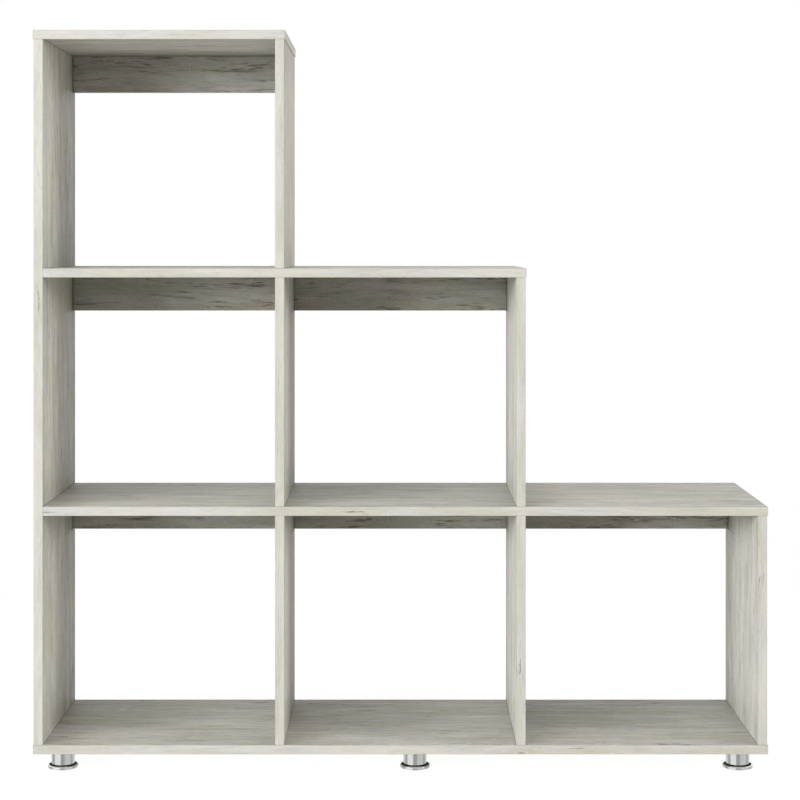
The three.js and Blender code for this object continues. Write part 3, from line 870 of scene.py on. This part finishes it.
# %% [markdown]
# Under the bottom panel stand six levelling feet. A chromed sleeve with a rolled lower edge hides
# the works, and a chromed cup with a rolled rim takes the load to the floor. The bright rolled
# edges are what the eye finds first, so both are round in section, with many segments. The floor
# is at height 0 and the bottom panel at 31.25.

# %% Sleeve and cup
SLEEVE_SECTION = [
    (18.2, 31.25), (19.2, 31.25), (19.2, 4.3), (15.6, 4.3), (15.6, 5.3), (18.2, 5.3),
    (18.2, 31.25),
]
SLEEVE_ROUNDINGS = [
    (19.2, 4.3, 3.2, 12), (18.2, 5.3, 2.2, 8), (15.6, 4.3, 0.3, 3), (15.6, 5.3, 0.3, 3),
]
CUP_SECTION = [
    (0, 0), (24.9, 0), (24.9, 5.5), (22.4, 5.5), (22.4, 4.7), (24.1, 4.7), (24.1, 0.8),
    (0, 0.8),
]
CUP_ROUNDINGS = [
    (24.9, 5.5, 2.1, 12), (24.9, 0, 0.7, 5), (24.1, 4.7, 1.3, 8), (22.4, 5.5, 0.3, 3),
]

sleeve = turned("sleeve", SLEEVE_SECTION, SLEEVE_ROUNDINGS)
cup = turned("cup", CUP_SECTION, CUP_ROUNDINGS)
print("sleeve and cup with", len(sleeve.data.polygons), "and", len(cup.data.polygons), "faces")

# %% [markdown]
# Inside the cup turns a black plastic disc, in one with a long threaded stem. Turning it by hand
# screws the foot in and out. The thread is real: one pitch of its zigzag, swept up a helix by the
# Screw modifier, cut flat at both ends and closed. The sweep starts and ends past the cuts. ZIGZAG
# lists shares of the pitch, and whether the line is at the crest there.

# %% Threaded stem
ZIGZAG = ((0, False), (0.2, False), (0.55, True), (0.65, True), (1, False))


def threaded(name, crest, root, low, high, pitch, steps):
    bottom = low - 2 * pitch
    zigzag = [(crest if outside else root, bottom + share * pitch) for share, outside in ZIGZAG]
    piece = start_line(name, *zigzag[0])
    draw_line(zigzag)
    bpy.ops.object.mode_set(mode="OBJECT")
    sweep = piece.modifiers.new("sweep", "SCREW")
    sweep.axis = "Z"
    sweep.angle = 2 * math.pi
    sweep.screw_offset = pitch * MM
    sweep.iterations = math.ceil((high - low) / pitch) + 3
    sweep.steps = steps
    sweep.render_steps = steps
    sweep.use_merge_vertices = True
    sweep.merge_threshold = MERGE_REACH
    bpy.ops.object.modifier_apply(modifier=sweep.name)
    bpy.ops.object.mode_set(mode="EDIT")
    for height, outer in ((low, False), (high, True)):
        bpy.ops.mesh.select_all(action="SELECT")
        bpy.ops.mesh.bisect(
            plane_co=(0, 0, height * MM),
            plane_no=(0, 0, 1),
            use_fill=True,
            clear_inner=not outer,
            clear_outer=outer,
            threshold=MERGE_REACH,
        )
    close_surface(piece)
    return piece


stem = threaded("stem", crest=4.95, root=4.1, low=3.2, high=27.0, pitch=1.5, steps=32)
print("stem with", len(stem.data.polygons), "faces")

# %% [markdown]
# The disc lies just below the rim of the cup and shows as a black line between the two bright
# edges. It is turned like the cup, gets a shallow recess in its top, and takes the stem into one
# piece.

# %% Threaded base
DISC_SECTION = [(0, 0.8), (23.7, 0.8), (23.7, 4.2), (0, 4.2)]
DISC_ROUNDINGS = [(23.7, 4.2, 1.5, 5), (23.7, 0.8, 0.3, 2)]
RECESS = {"above": 4.1, "reach": 20, "edge": 0.3, "slope": 0.2, "depth": 0.5}
LEVEL = 0.9


def joined(name, parts):
    bpy.ops.object.select_all(action="DESELECT")
    for part in parts:
        part.select_set(True)
    bpy.context.view_layer.objects.active = parts[0]
    bpy.ops.object.join()
    whole = bpy.context.object
    whole.name = name
    whole.data.name = name
    return whole


def select_faces(piece, chosen):
    bpy.ops.mesh.select_mode(type="FACE")
    bpy.ops.mesh.select_all(action="DESELECT")
    mesh = bmesh.from_edit_mesh(piece.data)
    for face in mesh.faces:
        if chosen(face.calc_center_median() / MM, face.normal):
            face.select = True
    mesh.select_flush(True)
    bmesh.update_edit_mesh(piece.data)


def on_recess(at, way):
    return way.z > LEVEL and at.z > RECESS["above"] and at.xy.length < RECESS["reach"]


disc = turned("threaded_base", DISC_SECTION, DISC_ROUNDINGS)
bpy.context.view_layer.objects.active = disc
bpy.ops.object.mode_set(mode="EDIT")
select_faces(disc, on_recess)
bpy.ops.mesh.inset(thickness=RECESS["edge"] * MM)
bpy.ops.mesh.inset(thickness=RECESS["slope"] * MM, depth=-RECESS["depth"] * MM)
close_surface(disc)
base = joined("threaded_base", [disc, stem])
print("base with", len(base.data.polygons), "faces")

# %% [markdown]
# A black moulded socket fills the sleeve. Its spigot is pressed into the bottom panel, its hub
# takes the stem, and thin ribs join the hub to the outer wall. It only shows from below. Each rib
# is a cube, stretched in its place, narrowed below and turned round the axis.

# %% Socket
SOCKET_SECTION = [
    (0, 27.3), (5.4, 27.3), (5.4, 5.3), (8.5, 5.3), (8.5, 27.25), (16.1, 27.25), (16.1, 8.0),
    (17.9, 8.0), (17.9, 31.25), (5.0, 31.25), (5.0, 42.25), (0, 42.25),
]
SOCKET_ROUNDINGS = [
    (5.4, 5.3, 0.5, 2), (8.5, 5.3, 0.4, 3), (16.1, 8.0, 0.3, 2), (17.9, 8.0, 0.3, 2),
    (5.0, 42.25, 1.0, 2),
]
RIBS = 6
RIB = {"inner": 8.2, "outer": 16.5, "half": 0.7, "low": 10.5, "high": 27.6, "taper": 0.7}


def moulded_rib(number):
    middle = (RIB["inner"] + RIB["outer"]) / 2 * MM
    height = (RIB["low"] + RIB["high"]) / 2 * MM
    length = (RIB["outer"] - RIB["inner"]) * MM
    rise = (RIB["high"] - RIB["low"]) * MM
    at_middle = (middle, 0, height)
    bpy.ops.object.select_all(action="DESELECT")
    bpy.ops.mesh.primitive_cube_add(size=1, location=at_middle)
    rib = bpy.context.object
    bpy.ops.object.mode_set(mode="EDIT")
    bpy.ops.transform.resize(value=(length, 2 * RIB["half"] * MM, rise), center_override=at_middle)
    select_faces(rib, lambda at, way: way.z < -LEVEL)
    bpy.ops.transform.resize(value=(1, RIB["taper"], 1), center_override=at_middle)
    bpy.ops.mesh.select_all(action="SELECT")
    angle = 2 * math.pi * number / RIBS
    bpy.ops.transform.rotate(value=angle, orient_axis="Z", center_override=(0, 0, 0))
    bpy.ops.object.mode_set(mode="OBJECT")
    bpy.ops.object.transform_apply(location=True, rotation=True, scale=True)
    return rib


socket_body = turned("socket", SOCKET_SECTION, SOCKET_ROUNDINGS)
ribs = [moulded_rib(number) for number in range(RIBS)]
socket = joined("socket", [socket_body, *ribs])
bpy.ops.object.shade_smooth_by_angle(angle=SMOOTH_ANGLE)
print("socket with", len(socket.data.polygons), "faces")

# %% [markdown]
# Sixteen one-piece screws hold the carcass. Only their countersunk heads show, flush with the
# top, the tall side and the underside. The head is turned. Its key socket starts as the round
# middle of the top, pushed in, whose points are then drawn onto a hexagon. The thread is swept
# like the stem's. Height 0 is the top of the head.

# %% Carcass screw
KEY_RING = 2.6
KEY_HALF_WIDTH = 2.0
KEY_DEPTH = 3.0
KEY_CORNER = math.radians(60)
SCREW_STEPS = 48
SCREW_SECTION = [
    (0, 0), (KEY_RING, 0), (4.8, 0), (3.4, -1.5), (3.4, -12.0), (2.4, -13.0), (2.4, -46.0),
    (0, -50.0),
]
SCREW_ROUNDINGS = [(4.8, 0, 0.15, 2), (2.4, -46.0, 0.6, 2)]

head = turned("screw", SCREW_SECTION, SCREW_ROUNDINGS, steps=SCREW_STEPS)
bpy.ops.object.mode_set(mode="EDIT")
select_faces(head, lambda at, way: at.z > -SAME_POINT_MM and at.xy.length < KEY_RING)
bpy.ops.mesh.extrude_region_move(TRANSFORM_OT_translate={"value": (0, 0, -KEY_DEPTH * MM)})
mesh = bmesh.from_edit_mesh(head.data)
for vertex in mesh.verts:
    if abs(vertex.co.xy.length / MM - KEY_RING) < SAME_POINT_MM:
        angle = math.atan2(vertex.co.y, vertex.co.x) % KEY_CORNER - KEY_CORNER / 2
        vertex.co.xy *= KEY_HALF_WIDTH / math.cos(angle) / KEY_RING
bmesh.update_edit_mesh(head.data)
close_surface(head)
thread = threaded(
    "screw_thread", crest=2.75, root=2.2, low=-46.0, high=-13.5, pitch=3.0, steps=24
)
screw = joined("screw", [head, thread])
bpy.ops.object.shade_smooth_by_angle(angle=SMOOTH_ANGLE)
print("screw with", len(screw.data.polygons), "faces")

# %% [markdown]
# Chrome is a mirror with a faint haze, which is uneven where hands have touched it. Zinc is duller
# and cloudy, and moulded plastic has a fine even grain. All three are the same idea, a roughness
# and a bump that vary over the surface, so one group with three settings does it.

# %% Handled surface
HAZE_RANGE = (0.12, 0.4)

handled = bpy.data.node_groups.new("handled surface", "ShaderNodeTree")
handled.interface.new_socket("Place", in_out="INPUT", socket_type="NodeSocketVector")
for name in ("Grain size", "Smoothest", "Roughest"):
    handled.interface.new_socket(name, in_out="INPUT", socket_type="NodeSocketFloat")
for name in ("Roughness", "Height", "Cloud"):
    handled.interface.new_socket(name, in_out="OUTPUT", socket_type="NodeSocketFloat")
entry = handled.nodes.new("NodeGroupInput")
result = handled.nodes.new("NodeGroupOutput")
place = entry.outputs["Place"]
cloud = noise(handled, place, (90, 90, 90), detail=3)
smear = noise(handled, place, (40, 40, 300), detail=2)
frequency = calc(handled, "DIVIDE", 1, entry.outputs["Grain size"])
fineness = vector_of(handled, frequency, frequency, frequency)
grain = noise(handled, vector_calc(handled, "MULTIPLY", place, fineness), (1, 1, 1), detail=1)
haze = step(handled, calc(handled, "MULTIPLY", cloud, smear), *HAZE_RANGE)
spread = calc(handled, "SUBTRACT", entry.outputs["Roughest"], entry.outputs["Smoothest"])
level = calc(handled, "MULTIPLY_ADD", haze, spread, entry.outputs["Smoothest"])
feed(handled, result.inputs["Roughness"], level)
feed(handled, result.inputs["Height"], grain)
feed(handled, result.inputs["Cloud"], cloud)
print("handled surface with", len(handled.nodes), "nodes")

# %% [markdown]
# A hard material puts the group in front of a plain shader and mixes two colours in clouds.

# %% Chrome, zinc and black plastic
CHROME_COLOURS = ((0.88, 0.88, 0.875, 1), (0.85, 0.855, 0.855, 1))
ZINC_COLOURS = ((0.63, 0.62, 0.57, 1), (0.56, 0.58, 0.60, 1))
BLACK_COLOURS = ((0.012, 0.012, 0.012, 1), (0.018, 0.018, 0.017, 1))
CLOUD_RANGE = (0.35, 0.65)
GRAIN_STRENGTH = 0.5


def hard_material(name, colours, metallic, grain_size, smoothest, roughest, bump_height, sheen):
    material = bpy.data.materials.new(name)
    material.use_nodes = True
    tree = material.node_tree
    shader = tree.nodes["Principled BSDF"]
    wear = tree.nodes.new("ShaderNodeGroup")
    wear.node_tree = handled
    spot = tree.nodes.new("ShaderNodeTexCoord").outputs["Object"]
    feed(tree, wear.inputs["Place"], spot)
    wear.inputs["Grain size"].default_value = grain_size
    wear.inputs["Smoothest"].default_value = smoothest
    wear.inputs["Roughest"].default_value = roughest
    tone = step(tree, wear.outputs["Cloud"], *CLOUD_RANGE)
    feed(tree, shader.inputs["Base Color"], mix(tree, tone, *colours))
    shader.inputs["Metallic"].default_value = metallic
    shader.inputs["Specular IOR Level"].default_value = sheen
    feed(tree, shader.inputs["Roughness"], wear.outputs["Roughness"])
    bump = tree.nodes.new("ShaderNodeBump")
    bump.inputs["Strength"].default_value = GRAIN_STRENGTH
    bump.inputs["Distance"].default_value = bump_height
    feed(tree, bump.inputs["Height"], wear.outputs["Height"])
    feed(tree, shader.inputs["Normal"], bump.outputs[0])
    return material


chrome = hard_material("chrome", CHROME_COLOURS, 1.0, 2 * MM, 0.05, 0.1, 0.001 * MM, 0.5)
zinc = hard_material("zinc screw", ZINC_COLOURS, 1.0, 0.5 * MM, 0.28, 0.42, 0.01 * MM, 0.5)
black = hard_material("black plastic", BLACK_COLOURS, 0.0, 0.35 * MM, 0.38, 0.5, 0.015 * MM, 0.15)
print("hard materials:", chrome.name, zinc.name, black.name)

# %% [markdown]
# Each part was modelled once, at the origin. Its copies get a mesh of their own, are carried to
# where the construction has them, and take the place of its plain nodes.

# %% Copying helper
def place_copy(pattern, name, place, turn, material, node, body):
    bpy.ops.object.select_all(action="DESELECT")
    pattern.select_set(True)
    bpy.context.view_layer.objects.active = pattern
    bpy.ops.object.duplicate(linked=False)
    piece = bpy.context.object
    piece.name = name
    piece.data.name = name
    piece.rotation_euler = [math.radians(angle) for angle in turn]
    piece.location = place
    bpy.ops.object.transform_apply(location=True, rotation=True, scale=True)
    piece.data.materials.clear()
    piece.data.materials.append(material)
    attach(piece, body)
    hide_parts(node)


# %% [markdown]
# The sleeve and the socket stay with the carcass, while the cup and the base move with their foot.

# %% Feet
FOOT_PARTS = (
    (sleeve, "sleeve", chrome, "chrome", "carcass"),
    (socket, "socket", black, "black_plastic", "carcass"),
    (cup, "cup", chrome, "chrome", "{}_cup"),
    (base, "threaded_base", black, "black_plastic", "{}_base"),
)
feet = sorted(name[: -len("_cup")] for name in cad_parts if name.endswith("_foot_cup"))
for foot in feet:
    low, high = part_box(foot + "_socket")
    place = ((low.x + high.x) / 2, (low.y + high.y) / 2, cad_low.z)
    for pattern, part, material, slot, body in FOOT_PARTS:
        node = foot + "_" + part
        name = foot.replace("_foot", "") + "_" + part
        place_copy(pattern, name, place, (0, 0, 0), material, node, body.format(foot))
print(len(feet), "feet placed")

# %% [markdown]
# A screw's head lies in an outer face, so each copy goes to that face of its node's box and is
# turned to look out of it. After that the patterns can go.

# %% Screws
HEAD_TURNS = {"bottom": (180, 0, 0), "top": (0, 0, 0), "side": (0, -90, 0)}

screws = sorted(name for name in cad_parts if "_screw_" in name)
for name in screws:
    side = name.split("_")[0]
    low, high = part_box(name)
    middle = (low + high) / 2
    faces = {
        "bottom": (middle.x, middle.y, low.z),
        "top": (middle.x, middle.y, high.z),
        "side": (low.x, middle.y, middle.z),
    }
    copy_name = name.replace("_screw_", "_fixing_")
    turn = HEAD_TURNS[side]
    place_copy(screw, copy_name, faces[side], turn, zinc, name, "carcass")

for pattern in (sleeve, cup, base, socket, screw):
    bpy.data.objects.remove(pattern)
print(len(screws), "screws placed")
